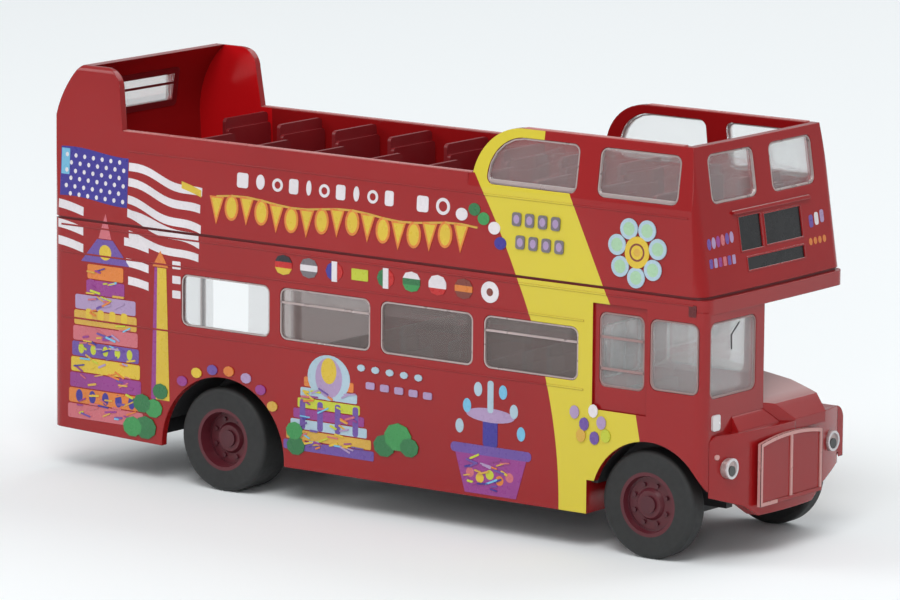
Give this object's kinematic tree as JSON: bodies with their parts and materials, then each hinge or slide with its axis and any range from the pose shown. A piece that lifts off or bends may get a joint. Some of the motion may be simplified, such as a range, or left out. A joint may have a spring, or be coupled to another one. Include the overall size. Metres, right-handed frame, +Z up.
{
  "type": "open top double decker bus scale model",
  "caption": "Half-cab double-decker bus scale model with an open upper deck, a hood at the rear, an open rear platform and wheels that roll on two axles.",
  "frame": {"origin": "on the ground, below the middle of the overall box", "axes": "+X points forward to the radiator, +Y to the platform side, +Z up"},
  "size_m": [0.0942, 0.028, 0.0474],
  "materials": {
    "body_red": "glossy printed plastic",
    "deck_maroon": "satin moulded plastic",
    "seat_red": "satin moulded plastic",
    "seat_grey": "satin moulded plastic",
    "frame_black": "satin moulded plastic",
    "silver_trim": "silver-coated plastic",
    "lamp_silver": "silver-coated plastic",
    "blind_black": "printed black",
    "tail_red": "printed red",
    "clear": "clear moulded plastic",
    "axle_steel": "drawn steel wire",
    "rim_maroon": "satin moulded plastic",
    "tyre_black": "soft moulded rubber"
  },
  "bodies": {
    "coach": {"lower_body": "body_red", "cab_door": "body_red", "deck_plate": "deck_maroon", "upper_body": "body_red", "saloon_floor": "frame_black", "rear_platform": "frame_black", "chassis": "frame_black", "bonnet": "body_red", "nose_panel": "body_red", "nearside_wing": "body_red", "radiator": "body_red", "radiator_frame": "silver_trim", "headlamp_offside": "lamp_silver", "headlamp_nearside": "lamp_silver", "destination_box": "blind_black", "upper_seats": "seat_red", "lower_seats": "seat_grey", "staircase": "deck_maroon", "cab_floor": "frame_black", "driver_seat": "seat_grey", "steering_wheel": "frame_black", "platform_pole": "silver_trim", "tail_lamps": "tail_red", "lower_glazing_offside": "clear", "lower_glazing_nearside": "clear", "cab_glazing": "clear", "bulkhead_glazing": "clear", "upper_glazing_offside": "clear", "upper_glazing_nearside": "clear", "upper_glazing_front": "clear", "hood_glazing": "clear"},
    "front_wheelset": {"front_axle": "axle_steel", "front_rim_offside": "rim_maroon", "front_rim_nearside": "rim_maroon", "front_tyre_offside": "tyre_black", "front_tyre_nearside": "tyre_black"},
    "rear_wheelset": {"rear_axle": "axle_steel", "rear_rim_offside": "rim_maroon", "rear_rim_nearside": "rim_maroon", "rear_tyre_offside": "tyre_black", "rear_tyre_nearside": "tyre_black"}
  },
  "joints": [
    {"name": "front_wheels_turn", "type": "hinge", "parent": "coach", "child": "front_wheelset", "pos_m": [0.037, 0, 0.00605], "axis": [0, 1, 0], "continuous": true},
    {"name": "rear_wheels_turn", "type": "hinge", "parent": "coach", "child": "rear_wheelset", "pos_m": [-0.022, 0, 0.00605], "axis": [0, 1, 0], "continuous": true}
  ]
}
